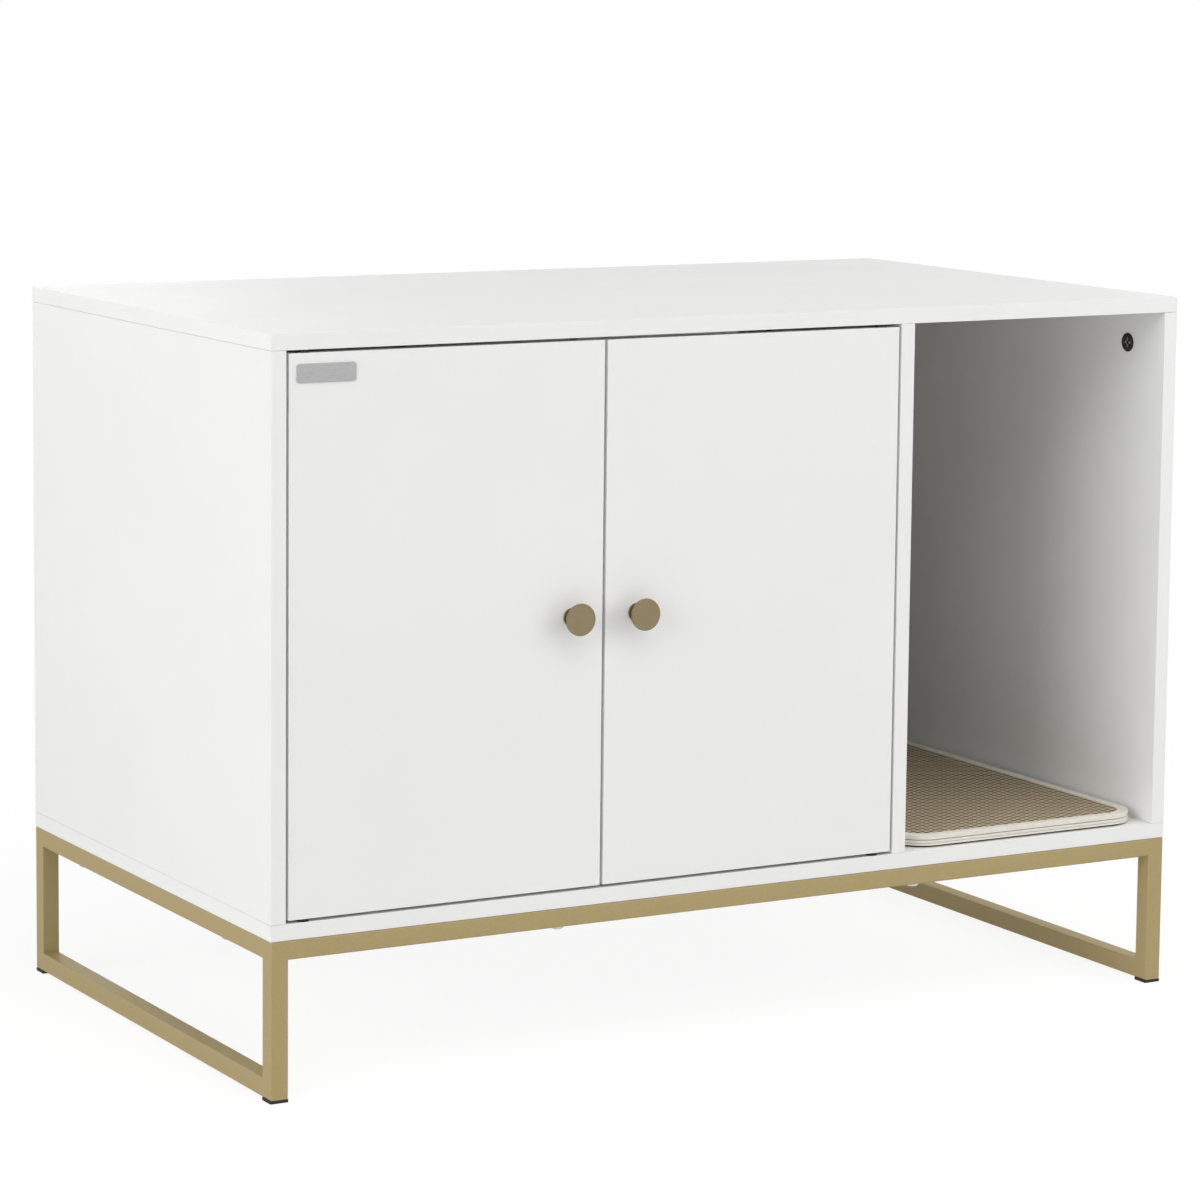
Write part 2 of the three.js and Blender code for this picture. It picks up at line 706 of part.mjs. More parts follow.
function footPads() {
  const plugHalf = TUBE / 2 - TUBE_WALL - FIT;
  const sole = slab(roundedRectangle(TUBE, TUBE, TUBE_CORNER), PAD_HEIGHT, TUBE_CORNER_STEPS);
  const plug = boxBetween(
    [-plugHalf, -plugHalf, PAD_HEIGHT / 2],
    [plugHalf, plugHalf, PAD_HEIGHT + PAD_PLUG],
  );
  const body = join(sole, [plug]);
  return SIDES.flatMap((cabinet) => ENDS.map(({ end, edge, inward }) => part(
    `${cabinet.side}_${end}_foot_pad`,
    body.clone(),
    BLACK_RUBBER,
    [insetFrom(cabinet.edge, cabinet.inward, TUBE / 2), insetFrom(edge, inward, TUBE / 2), 0],
  )));
}

function sideRails() {
  const start = FRONT + TUBE + SEAM;
  const length = DEPTH - 2 * (TUBE + SEAM);
  const boltHoles = ENDS.map(({ edge, inward }) => insetFrom(edge, inward, SIDE_RAIL_BOLT_INSET) - start);
  const levels = [
    { level: 'top', z: BASE_HEIGHT - SEAM - TUBE / 2, holes: boltHoles },
    { level: 'bottom', z: PAD_HEIGHT + SEAM + TUBE / 2, holes: [] },
  ];
  return SIDES.flatMap(({ side, edge, inward }) => levels.map(({ level, z, holes }) => part(
    `${side}_${level}_rail`,
    tube(length, holes),
    GOLD_STEEL,
    [insetFrom(edge, inward, TUBE / 2), start, z],
    TO_BACK,
  )));
}

function longRails() {
  const start = LEFT + TUBE + SEAM;
  const length = WIDTH - 2 * (TUBE + SEAM);
  const holes = SIDES.map(({ edge, inward }) => insetFrom(edge, inward, LONG_RAIL_BOLT_INSET) - start);
  return ENDS.map(({ end, edge, inward }) => part(
    `${end}_rail`,
    tube(length, holes).rotateZ(Math.PI / 2),
    GOLD_STEEL,
    [start, insetFrom(edge, inward, TUBE / 2), BASE_HEIGHT - SEAM - TUBE / 2],
    TO_RIGHT,
  ));
}

function frameBolts() {
  const body = turned([
    [0, -TUBE - SEAM - BOLT_BITE],
    [BOLT_RADIUS, -TUBE - SEAM - BOLT_BITE],
    [BOLT_RADIUS, SEAM],
    [BOLT_HEAD_RADIUS, SEAM],
    [BOLT_HEAD_RADIUS, BOLT_HEAD_HEIGHT / 2],
    [BOLT_HEAD_RADIUS * 0.75, BOLT_HEAD_HEIGHT],
    [0, BOLT_HEAD_HEIGHT],
  ]);
  const recessed = withRecess(body, BOLT_HEAD_RADIUS, BOLT_HEAD_HEIGHT);
  return RAIL_BOLTS.map(({ name, x, y }) => part(
    name,
    recessed.clone(),
    ZINC_STEEL,
    [x, y, BASE_HEIGHT - SEAM - TUBE],
    DOWN,
  ));
}

// Mat

function mat() {
  const width = OPEN_COMPARTMENT - 2 * MAT_SIDE_GAP;
  const front = FRONT + MAT_FRONT_INSET;
  const length = BACK_PANEL_FRONT - MAT_BACK_GAP - front;
  const place = [DIVIDER_RIGHT + OPEN_COMPARTMENT / 2, front + length / 2, FLOOR + FIT];
  const inset = (shrink) => roundedRectangle(
    width - 2 * shrink,
    length - 2 * shrink,
    MAT_CORNER - shrink,
  );
  const recessFloor = MAT_THICKNESS - MAT_RECESS;
  const recess = slab(inset(MAT_BORDER), MAT_RECESS + 1).translate(0, 0, recessFloor);
  const sheet = slab(inset(MAT_BORDER + FIT), MAT_RECESS - MAT_RECESS_DROP - SEAM);
  sheet.translate(0, 0, recessFloor + SEAM);
  return [
    part('mat_base', cut(slab(inset(0), MAT_THICKNESS), [recess]), CREAM_BINDING, place),
    part('mat_honeycomb', sheet, TAN_FOAM, place),
  ];
}

const cabinet = new THREE.Group();
cabinet.add(
  ...carcass(),
  ...camLocks(),
  ...assemblyScrews(),
  magneticCatch(),
  ...DOORS.flatMap(doorAssembly),
  namePlate(LEFT_DOOR),
  ...legs(),
  ...footPads(),
  ...sideRails(),
  ...longRails(),
  ...frameBolts(),
  ...mat(),
);

export default cabinet;
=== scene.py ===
"""Looks of a cat litter box cabinet: a white faced-board carcass with two pivot doors, a
honeycomb mat, and a base of champagne-coloured square steel tube.

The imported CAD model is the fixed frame. Every piece is modelled where its CAD node is,
in metres, with +X to the right as one faces the cabinet, -Y its front and +Z up. Turned
pieces are made on the Z axis from profiles in millimetres, and then stood at their places.
"""

import contextlib
import json
import math

import bmesh
import bpy
from mathutils import Matrix, Vector

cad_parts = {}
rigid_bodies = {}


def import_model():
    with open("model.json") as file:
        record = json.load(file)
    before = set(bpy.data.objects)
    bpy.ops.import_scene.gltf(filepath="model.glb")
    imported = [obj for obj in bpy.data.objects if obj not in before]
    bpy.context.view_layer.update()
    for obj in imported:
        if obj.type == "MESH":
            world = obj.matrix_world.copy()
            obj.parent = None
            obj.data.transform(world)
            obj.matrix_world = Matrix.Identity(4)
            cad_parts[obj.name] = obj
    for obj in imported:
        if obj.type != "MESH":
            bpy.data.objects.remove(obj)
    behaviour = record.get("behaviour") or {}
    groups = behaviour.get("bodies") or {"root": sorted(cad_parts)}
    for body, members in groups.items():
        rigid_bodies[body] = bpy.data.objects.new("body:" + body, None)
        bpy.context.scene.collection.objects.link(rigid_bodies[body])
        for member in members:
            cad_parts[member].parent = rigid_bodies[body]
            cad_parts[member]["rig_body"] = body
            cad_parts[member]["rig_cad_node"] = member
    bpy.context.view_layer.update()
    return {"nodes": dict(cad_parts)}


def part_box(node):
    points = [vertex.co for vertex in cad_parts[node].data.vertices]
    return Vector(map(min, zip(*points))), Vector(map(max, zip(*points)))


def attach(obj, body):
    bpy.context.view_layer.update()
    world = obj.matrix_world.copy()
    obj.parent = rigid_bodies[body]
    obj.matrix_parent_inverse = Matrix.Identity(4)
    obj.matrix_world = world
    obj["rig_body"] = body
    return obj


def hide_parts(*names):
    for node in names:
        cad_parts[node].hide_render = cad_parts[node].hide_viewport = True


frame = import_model()

MM = 0.001
HAIR = 0.01 * MM  # what counts as the same place
FLAT = math.radians(0.2)  # faces that meet at less than this are one face
UP = Vector((0, 0, 1))
DOWN = Vector((0, 0, -1))
FRONT = Vector((0, -1, 0))
BACK = Vector((0, 1, 0))
RIGHT = Vector((1, 0, 0))
LEFT = Vector((-1, 0, 0))
SIDES = ("left", "right")
ENDS = ("front", "back")


# ---------------------------------------------------------------- hand tools

def alone(piece):
    """Selects one piece and nothing else."""
    bpy.ops.object.select_all(action="DESELECT")
    piece.select_set(True)
    bpy.context.view_layer.objects.active = piece


@contextlib.contextmanager
def editing(piece):
    """Opens a piece for editing, and closes it again."""
    alone(piece)
    bpy.ops.object.mode_set(mode="EDIT")
    yield
    bpy.ops.object.mode_set(mode="OBJECT")


def pick(piece, kind, chosen):
    """Selects the verts, edges or faces of the open piece that a test picks out."""
    kinds = ("verts", "edges", "faces")
    bpy.context.tool_settings.mesh_select_mode = [kind == each for each in kinds]
    bpy.ops.mesh.select_all(action="DESELECT")
    shape = bmesh.from_edit_mesh(piece.data)
    for part in getattr(shape, kind):
        part.select_set(chosen(part))
    shape.select_flush_mode()
    bmesh.update_edit_mesh(piece.data)


def apply_modifier(piece, kind, **settings):
    """Adds one modifier with its settings and applies it."""
    alone(piece)
    modifier = piece.modifiers.new(kind, kind)
    for name, value in settings.items():
        setattr(modifier, name, value)
    bpy.ops.object.modifier_apply(modifier=modifier.name)


def apply_place(piece):
    """Moves a piece's place, turn and scale into its mesh."""
    alone(piece)
    bpy.ops.object.transform_apply(location=True, rotation=True, scale=True)


def named(piece, name):
    """Names a piece and its mesh."""
    piece.name = piece.data.name = name
    return piece


def block(name, low, high):
    """A box between two corners."""
    low, high = Vector(low), Vector(high)
    bpy.ops.mesh.primitive_cube_add(size=1, location=(low + high) / 2, scale=high - low)
    piece = named(bpy.context.active_object, name)
    apply_place(piece)
    return piece


def turned(name, profile, steps=64):
    """A turned piece on the Z axis: a disc drawn out ring by ring, from pairs of radius and
    height in millimetres."""
    radius, height = profile[0]
    bpy.ops.mesh.primitive_circle_add(
        vertices=steps, radius=radius * MM, fill_type="NGON", location=(0, 0, height * MM))
    piece = named(bpy.context.active_object, name)
    apply_place(piece)
    with editing(piece):
        bpy.ops.mesh.select_all(action="SELECT")
        for (radius, height), (next_radius, next_height) in zip(profile, profile[1:]):
            bpy.ops.mesh.extrude_region_move(
                TRANSFORM_OT_translate={"value": (0, 0, (next_height - height) * MM)})
            shrink = next_radius / radius
            bpy.ops.transform.resize(
                value=(shrink, shrink, 1), center_override=(0, 0, next_height * MM))
        bpy.ops.mesh.select_all(action="SELECT")
        bpy.ops.mesh.normals_make_consistent(inside=False)
    return piece


def from_cad(node, name):
    """A copy of a CAD node to work on, its loose triangles joined into whole faces."""
    piece = frame["nodes"][node].copy()
    piece.data = frame["nodes"][node].data.copy()
    piece.parent = None
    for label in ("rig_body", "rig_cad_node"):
        del piece[label]
    bpy.context.scene.collection.objects.link(piece)
    named(piece, name)
    alone(piece)
    bpy.ops.mesh.customdata_custom_splitnormals_clear()
    with editing(piece):
        bpy.ops.mesh.select_all(action="SELECT")
        bpy.ops.mesh.remove_doubles(threshold=HAIR)
        bpy.ops.mesh.dissolve_limited(angle_limit=FLAT)
    return piece


def twin(piece, name):
    """A copy with its own mesh."""
    copy = piece.copy()
    copy.data = piece.data.copy()
    bpy.context.scene.collection.objects.link(copy)
    return named(copy, name)


def discard(*pieces):
    """Throws away patterns and cutters that have done their work."""
    for piece in pieces:
        bpy.data.objects.remove(piece)


def stand(piece, place, facing=UP):
    """Stands a piece that was made at the origin at its place, its Z axis along facing."""
    turn = UP.rotation_difference(facing).to_matrix().to_4x4()
    piece.matrix_world = Matrix.Translation(Vector(place)) @ turn
    apply_place(piece)
    return piece


def combine(piece, other, operation):
    """Joins another piece on (UNION) or cuts its shape out (DIFFERENCE), and discards it."""
    apply_modifier(piece, "BOOLEAN", operation=operation, object=other, solver="EXACT")
    discard(other)
    return piece


def smooth(piece, angle=35):
    """Smooths the rounds, up to an angle in degrees, and keeps the flats flat."""
    alone(piece)
    bpy.ops.object.shade_smooth_by_angle(angle=math.radians(angle))
    apply_modifier(piece, "WEIGHTED_NORMAL", mode="FACE_AREA", weight=50, keep_sharp=True)
    return piece


def along(axis):
    """A test for edges that run along one axis."""
    def runs(edge):
        line = edge.verts[1].co - edge.verts[0].co
        return abs(line[axis]) > 0.999 * line.length
    return runs


def in_plane(axis, place):
    """A test for edges that lie in one plane across an axis."""
    return lambda edge: all(abs(vert.co[axis] - place) < HAIR for vert in edge.verts)


def on_box_edge(low, high):
    """A test for edges that lie on an edge of a box, where two of its planes meet."""
    planes = [in_plane(axis, corner[axis]) for axis in range(3) for corner in (low, high)]
    return lambda edge: sum(plane(edge) for plane in planes) >= 2


def round_edges(piece, chosen, radius, segments=3):
    """Rounds the edges of a piece that a test picks out."""
    with editing(piece):
        pick(piece, "edges", chosen)
        bpy.ops.mesh.bevel(
            offset=radius, segments=segments, profile=0.5, affect="EDGES", clamp_overlap=True)


def centre(node):
    """The middle of a CAD node's box."""
    low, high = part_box(node)
    return (low + high) / 2


# ---------------------------------------------------------------- finishes

NOISE_SPAN = {"From Min": 0.3, "From Max": 0.7}  # nearly all values of a noise lie here
PATCHY = 0.2  # how much a noise adds to a share, towards the lighter colour
KNOB_WAIST = 4 * MM  # door to where the painted shade on the knob's foot and waist starts to lighten
KNOB_RIM = 1.5 * MM  # face of the knob to where the painted shade towards its waist begins


def linear(colour):
    """An sRGB hex colour as the linear one that a shader takes."""
    channels = [int(colour[i:i + 2], 16) / 255 for i in (1, 3, 5)]
    return [c / 12.92 if c <= 0.04045 else ((c + 0.055) / 1.055) ** 2.4 for c in channels] + [1.0]


def add(tree, kind, settings, inputs):
    """Adds a node. An input is a plain value, or the node or output socket that feeds it."""
    node = tree.nodes.new(kind)
    for name, value in settings.items():
        setattr(node, name, value)
    for name, value in inputs.items():
        if isinstance(value, bpy.types.Node):
            value = value.outputs[0]
        if isinstance(value, bpy.types.NodeSocket):
            tree.links.new(value, node.inputs[name])
        else:
            node.inputs[name].default_value = value
    return node


def per(millimetres):
    """The scale of a pattern on metres whose features are this many millimetres apart."""
    return 1 / (millimetres * MM)


def new_finish(name, colour, **sockets):
    """A material with its shader, and the place on the piece that its patterns follow."""
    material = bpy.data.materials.new(name)
    material.use_nodes = True
    tree = material.node_tree
    shader = tree.nodes["Principled BSDF"]
    shader.inputs["Base Color"].default_value = linear(colour)
    for socket, value in sockets.items():
        shader.inputs[socket.replace("_", " ")].default_value = value
    place = add(tree, "ShaderNodeTexCoord", {}, {}).outputs["Object"]
    return material, tree, shader, place


def work_surface(tree, shader, colours, gloss, relief):
    """Patterns a surface: its colour goes between two by a share from 0 to 1, its roughness
    follows a noise from one value to another, and a noise raises it by a depth in
    millimetres, with a strength."""
    share, dark, light = colours
    mix = add(tree, "ShaderNodeMix", {"data_type": "RGBA"}, {"Factor": share})
    mix.inputs[6].default_value = linear(dark)
    mix.inputs[7].default_value = linear(light)
    tree.links.new(mix.outputs[2], shader.inputs["Base Color"])
    grain, sleek, dull = gloss
    roughness = add(tree, "ShaderNodeMapRange", {}, {
        "Value": grain, **NOISE_SPAN, "To Min": sleek, "To Max": dull})
    tree.links.new(roughness.outputs["Result"], shader.inputs["Roughness"])
    height, depth, strength = relief
    raised = add(tree, "ShaderNodeBump", {}, {
        "Height": height, "Distance": depth * MM, "Strength": strength})
    tree.links.new(raised.outputs["Normal"], shader.inputs["Normal"])


def melamine():
    """White melamine-faced board: a satin film with a fine pearl texture, which breaks up
    the gloss, and a hardly seen cloudiness in the white."""
    material, tree, shader, place = new_finish("white_melamine", "#F1F1F0", Roughness=0.46)
    pearl = add(tree, "ShaderNodeTexNoise", {}, {
        "Vector": place, "Scale": per(0.9), "Detail": 3.0})
    clouds = add(tree, "ShaderNodeTexNoise", {}, {"Vector": place, "Scale": per(140)})
    sheen = add(tree, "ShaderNodeTexNoise", {}, {
        "Vector": place, "Scale": per(30), "Detail": 4.0})
    share = add(tree, "ShaderNodeMapRange", {}, {"Value": clouds, **NOISE_SPAN})
    work_surface(tree, shader, (share, "#F0F0EF", "#F2F2F1"),
                 gloss=(sheen, 0.43, 0.5), relief=(pearl, 0.02, 0.35))
    return material


def hardboard():
    """White-painted hardboard of the back: flatter than the boards, with the felt-like
    mottle of pressed fibre under the paint."""
    material, tree, shader, place = new_finish("painted_hardboard", "#ECEBE8", Roughness=0.62)
    fibre = add(tree, "ShaderNodeTexNoise", {}, {
        "Vector": place, "Scale": per(1.6), "Detail": 5.0, "Roughness": 0.65})
    share = add(tree, "ShaderNodeMapRange", {}, {"Value": fibre, **NOISE_SPAN})
    work_surface(tree, shader, (share, "#E9E8E4", "#EFEEEB"),
                 gloss=(fibre, 0.56, 0.68), relief=(fibre, 0.06, 0.4))
    return material


def champagne_coat():
    """Champagne-gold powder coat on steel: satin, with the orange peel of melted powder
    and a fine flake that gives it its metal look."""
    material, tree, shader, place = new_finish(
        "champagne_powder_coat", "#AB996D", Metallic=0.2, Roughness=0.56, Specular_IOR_Level=0.25)
    flake = add(tree, "ShaderNodeTexNoise", {}, {
        "Vector": place, "Scale": per(0.7), "Roughness": 0.6})
    peel = add(tree, "ShaderNodeTexNoise", {}, {"Vector": place, "Scale": per(1.8)})
    share = add(tree, "ShaderNodeMapRange", {}, {"Value": flake, **NOISE_SPAN})
    work_surface(tree, shader, (share, "#A69468", "#B09E72"),
                 gloss=(peel, 0.52, 0.6), relief=(peel, 0.03, 0.4))
    return material


def bronzed_knob(face, door):
    """Die-cast knob with a bronzed lacquer: smooth satin, with painted shade that darkens it from
    just behind its face back to the waist and foot, and faint cloudiness where the lacquer is
    thicker."""
    material, tree, shader, place = new_finish(
        "bronzed_lacquer", "#897B5E", Metallic=0.6, Roughness=0.32)
    depth = add(tree, "ShaderNodeSeparateXYZ", {}, {"Vector": place}).outputs["Y"]
    # painted shade: the knob goes darker from just behind its face back towards the door
    painted_waist_shade = add(tree, "ShaderNodeMapRange", {}, {
        "Value": depth, "From Min": door - KNOB_WAIST, "From Max": face + KNOB_RIM,
        "To Max": 0.85})
    lacquer = add(tree, "ShaderNodeTexNoise", {}, {
        "Vector": place, "Scale": per(6), "Detail": 3.0})
    share = add(tree, "ShaderNodeMath", {"operation": "MULTIPLY_ADD"}, {
        0: lacquer, 1: PATCHY, 2: painted_waist_shade})
    skin = add(tree, "ShaderNodeTexNoise", {}, {"Vector": place, "Scale": per(0.8)})
    # the dark colour is painted shade in the waist and foot, the light one the knob's own bronze
    work_surface(tree, shader, (share, "#56472F", "#897B5E"),
                 gloss=(lacquer, 0.29, 0.36), relief=(skin, 0.01, 0.3))
    return material


def zinc_plate():
    """Bright zinc plating on screws and bolts: cool grey with a cloudy passivation."""
    material, tree, shader, place = new_finish(
        "zinc_plated_steel", "#C3C5C7", Metallic=1.0, Roughness=0.34)
    clouds = add(tree, "ShaderNodeTexNoise", {}, {
        "Vector": place, "Scale": per(2.5), "Detail": 3.0})
    crystals = add(tree, "ShaderNodeTexNoise", {}, {"Vector": place, "Scale": per(0.5)})
    share = add(tree, "ShaderNodeMapRange", {}, {"Value": clouds, **NOISE_SPAN})
    work_surface(tree, shader, (share, "#B4B7BA", "#CFD1D2"),
                 gloss=(clouds, 0.28, 0.42), relief=(crystals, 0.01, 0.4))
    return material


def satin_plate():
    """Satin aluminium of the bare name plate: pale grey, with short brushed streaks along
    the plate and a fine grain."""
    material, tree, shader, place = new_finish(
        "satin_aluminium", "#AAAAAA", Metallic=0.35, Roughness=0.42)
    brushed = add(tree, "ShaderNodeMapping", {}, {"Vector": place, "Scale": (0.08, 1, 1)})
    streaks = add(tree, "ShaderNodeTexNoise", {}, {
        "Vector": brushed, "Scale": per(0.5), "Detail": 3.0, "Roughness": 0.6})
    share = add(tree, "ShaderNodeMapRange", {}, {"Value": streaks, **NOISE_SPAN})
    work_surface(tree, shader, (share, "#A3A3A3", "#B2B2B2"),
                 gloss=(streaks, 0.38, 0.5), relief=(streaks, 0.01, 0.4))
    return material


def black_nylon():
    """Black moulded nylon of pivots and cam locks: matt from a spark-eroded mould."""
    material, tree, shader, place = new_finish("black_nylon", "#1E1D1C", Roughness=0.55)
    sparks = add(tree, "ShaderNodeTexNoise", {}, {
        "Vector": place, "Scale": per(0.4), "Roughness": 0.6})
    flow = add(tree, "ShaderNodeTexNoise", {}, {"Vector": place, "Scale": per(4)})
    share = add(tree, "ShaderNodeMapRange", {}, {"Value": flow, **NOISE_SPAN})
    work_surface(tree, shader, (share, "#1B1A19", "#232221"),
                 gloss=(sparks, 0.48, 0.64), relief=(sparks, 0.03, 0.5))
    return material


def white_abs():
    """White moulded ABS of the catch: soft gloss, with the faint waviness of a moulding."""
    material, tree, shader, place = new_finish("white_abs", "#E8E8E5", Roughness=0.4)
    waves = add(tree, "ShaderNodeTexNoise", {}, {"Vector": place, "Scale": per(5)})
    skin = add(tree, "ShaderNodeTexNoise", {}, {"Vector": place, "Scale": per(0.6)})
    share = add(tree, "ShaderNodeMapRange", {}, {"Value": waves, **NOISE_SPAN})
    work_surface(tree, shader, (share, "#E5E5E2", "#EBEBE8"),
                 gloss=(waves, 0.35, 0.46), relief=(skin, 0.02, 0.3))
    return material


def black_rubber():
    """Black rubber of the foot pads: dull, greyed a little where it is scuffed."""
    material, tree, shader, place = new_finish("black_rubber_pad", "#181614", Roughness=0.82)
    scuffs = add(tree, "ShaderNodeTexNoise", {}, {
        "Vector": place, "Scale": per(2.2), "Detail": 4.0, "Roughness": 0.65})
    share = add(tree, "ShaderNodeMapRange", {}, {
        "Value": scuffs, "From Min": 0.45, "From Max": 0.75})
    work_surface(tree, shader, (share, "#161412", "#2A2725"),
                 gloss=(scuffs, 0.75, 0.9), relief=(scuffs, 0.05, 0.5))
    return material


def cream_binding():
    """Cream foam edging pressed to a fine cloth-like grain: matt, with soft mottling."""
    material, tree, shader, place = new_finish("cream_foam_edging", "#E6E1D6", Roughness=0.8)
    grain = add(tree, "ShaderNodeTexNoise", {}, {
        "Vector": place, "Scale": per(0.8), "Detail": 3.0, "Roughness": 0.6})
    mottle = add(tree, "ShaderNodeTexNoise", {}, {
        "Vector": place, "Scale": per(9), "Detail": 3.0})
    share = add(tree, "ShaderNodeMapRange", {}, {"Value": mottle, **NOISE_SPAN})
    work_surface(tree, shader, (share, "#E2DDD1", "#EAE6DC"),
                 gloss=(grain, 0.74, 0.88), relief=(grain, 0.08, 0.5))
    return material


def tan_foam(top):
    """Tan EVA foam of the honeycomb: closed-cell foam with fine pores, and painted shade inside
    the holes, which go dark from just under the top of the ridges."""
    material, tree, shader, place = new_finish("tan_eva_foam", "#A8997B", Roughness=0.82)
    pores = add(tree, "ShaderNodeTexNoise", {}, {
        "Vector": place, "Scale": per(0.7), "Detail": 3.0, "Roughness": 0.6})
    height = add(tree, "ShaderNodeSeparateXYZ", {}, {"Vector": place}).outputs["Z"]
    # painted shade: the foam darkens from 0.1 mm to 0.5 mm below its top, down into the holes
    ridge = add(tree, "ShaderNodeMapRange", {}, {
        "Value": height, "From Min": top - 0.5 * MM, "From Max": top - 0.1 * MM,
        "To Max": 0.9})
    share = add(tree, "ShaderNodeMath", {"operation": "MULTIPLY_ADD"}, {
        0: pores, 1: PATCHY, 2: ridge})
    # the dark colour is painted shade in the holes, the light one the foam's own tan
    work_surface(tree, shader, (share, "#4C4033", "#BCAB8F"),
                 gloss=(pores, 0.76, 0.9), relief=(pores, 0.08, 0.5))
    return material


DOOR_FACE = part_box("left_door")[0].y
DOOR_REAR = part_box("left_door")[1].y
FOAM_RISE = 1.2 * MM  # the soft mat stands this much above its hard solids
HONEYCOMB_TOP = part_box("mat_honeycomb")[1].z + FOAM_RISE

FINISHES = {
    "white_board": melamine(),
    "white_hardboard": hardboard(),
    "gold_steel": champagne_coat(),
    "bronze_metal": bronzed_knob(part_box("left_knob")[0].y, DOOR_FACE),
    "zinc_steel": zinc_plate(),
    "grey_plate": satin_plate(),
    "black_plastic": black_nylon(),
    "white_plastic": white_abs(),
    "black_rubber": black_rubber(),
    "cream_binding": cream_binding(),
    "tan_foam": tan_foam(HONEYCOMB_TOP),
}


def fit(piece, body, slot, *nodes):
    """Gives a finished piece its finish and sets it on its body, in place of these nodes."""
    piece.data.materials.clear()
    piece.data.materials.append(FINISHES[slot])
    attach(piece, body)
    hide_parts(*nodes)


# ---------------------------------------------------------------- boards and doors

BOARD_ARRIS = 0.3 * MM  # edge banding is scraped to about this radius

BOARDS = [
    ("top_panel", "cabinet", "white_board"),
    ("bottom_panel", "cabinet", "white_board"),
    ("left_side_panel", "cabinet", "white_board"),
    ("right_side_panel", "cabinet", "white_board"),
    ("divider_panel", "cabinet", "white_board"),
    ("back_panel", "cabinet", "white_hardboard"),
    ("left_door", "left_door", "white_board"),
    ("right_door", "right_door", "white_board"),
]


def faced_board(node, body, slot):
    """A board with its drilled holes and grooves, its long edges eased."""
    piece = from_cad(node, f"{node}_board")
    round_edges(piece, on_box_edge(*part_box(node)), BOARD_ARRIS)
    fit(smooth(piece), body, slot, node)


for board in BOARDS:
    faced_board(*board)


# ---------------------------------------------------------------- base

TUBE_CORNER = 1.4 * MM
RAIL_BITE = 0.2 * MM  # a rail's end runs this far past the round of the leg
PAD_HEIGHT = 3 * MM
PAD_LIP = 0.3 * MM  # the pad stands out past the tube
PAD_CORNER = 1.5 * MM
PAD_EDGE = 0.5 * MM


def side_frame(side):
    """Two legs and two rails of square tube, welded and ground flush into one flat frame."""
    members = [f"{side}_{part}" for part in ("front_leg", "back_leg", "top_rail", "bottom_rail")]
    boxes = [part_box(node) for node in members]
    low = Vector([min(box[0][axis] for box in boxes) for axis in range(3)])
    high = Vector([max(box[1][axis] for box in boxes) for axis in range(3)])
    tube = high.x - low.x
    piece = block(f"{side}_side_frame", low, high)
    with editing(piece):
        pick(piece, "faces", lambda face: abs(face.normal.x) > 0.9)
        bpy.ops.mesh.inset(thickness=tube, depth=0)
        bpy.ops.mesh.bridge_edge_loops()
    round_edges(piece, lambda edge: not along(0)(edge), TUBE_CORNER)
    fit(smooth(piece), "cabinet", "gold_steel", *members)


def long_rail(end):
    """A rail between the side frames, its ends ground into the legs' rounded corners."""
    node = f"{end}_rail"
    low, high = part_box(node)
    reach = RIGHT * (TUBE_CORNER + RAIL_BITE)
    piece = block(f"{node}_tube", low - reach, high + reach)
    round_edges(piece, along(0), TUBE_CORNER)
    fit(smooth(piece), "cabinet", "gold_steel", node)


def foot_pad(node):
    """A rubber sole under a leg, a little wider than the tube."""
    low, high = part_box(node)
    lip = Vector((PAD_LIP, PAD_LIP, 0))
    piece = block(f"{node}_sole", low - lip, Vector((high.x, high.y, PAD_HEIGHT)) + lip)
    round_edges(piece, along(2), PAD_CORNER)
    round_edges(piece, lambda edge: in_plane(2, edge.verts[0].co.z)(edge), PAD_EDGE)
    fit(smooth(piece), "cabinet", "black_rubber", node)


for side in SIDES:
    side_frame(side)
for end in ENDS:
    long_rail(end)
for side in SIDES:
    for end in ENDS:
        foot_pad(f"{side}_{end}_foot_pad")


# ---------------------------------------------------------------- screws, bolts and locks

RECESS_TAPER = 0.7  # width of a cross recess at its floor, as a share of that at its mouth
CROSS_SPAN, CROSS_ARM = 1.1, 0.26  # of a head's cross, as shares of its radius
DOME_TURN = 80  # degrees from a head's edge to where its top is level
DOME_MIDDLE = 0.28  # share of a head's radius that no dome reduces
CAM_CAP = 1.4  # millimetres that a cam lock's cap stands out from its board

BASE_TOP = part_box("bottom_panel")[0].z
RAIL_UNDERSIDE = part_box("front_rail")[0].z
BOLTS = [f"{end}_rail_{side}_bolt" for end in ENDS for side in SIDES]
BOLTS += [f"{side}_rail_{end}_bolt" for side in SIDES for end in ENDS]
UPRIGHT_ENDS = [f"{board}_{end}" for board in ("left_side", "divider", "right_side")
                for end in ENDS]
SCREWS = [f"{place}_screw" for place in UPRIGHT_ENDS]


def cross_cutter(span, width, top, depth):
    """A tapered cross, to cut the recess of a head. Its sizes are in millimetres."""
    bars = []
    for across, down in ((span, width), (width, span)):
        low = (-across / 2 * MM, -down / 2 * MM, (top - depth) * MM)
        bar = block("bar", low, (across / 2 * MM, down / 2 * MM, (top + depth) * MM))
        with editing(bar):
            pick(bar, "faces", lambda face: face.normal.z < -0.9)
            bpy.ops.transform.resize(
                value=(RECESS_TAPER, RECESS_TAPER, 1), center_override=(0, 0, low[2]))
        bars.append(bar)
    return combine(*bars, "UNION")


def fastener(name, profile, radius, top, depth):
    """A turned screw or bolt with a cross recess in its head."""
    piece = turned(name, profile, steps=48)
    combine(piece, cross_cutter(radius * CROSS_SPAN, radius * CROSS_ARM, top, depth),
            "DIFFERENCE")
    return smooth(piece)


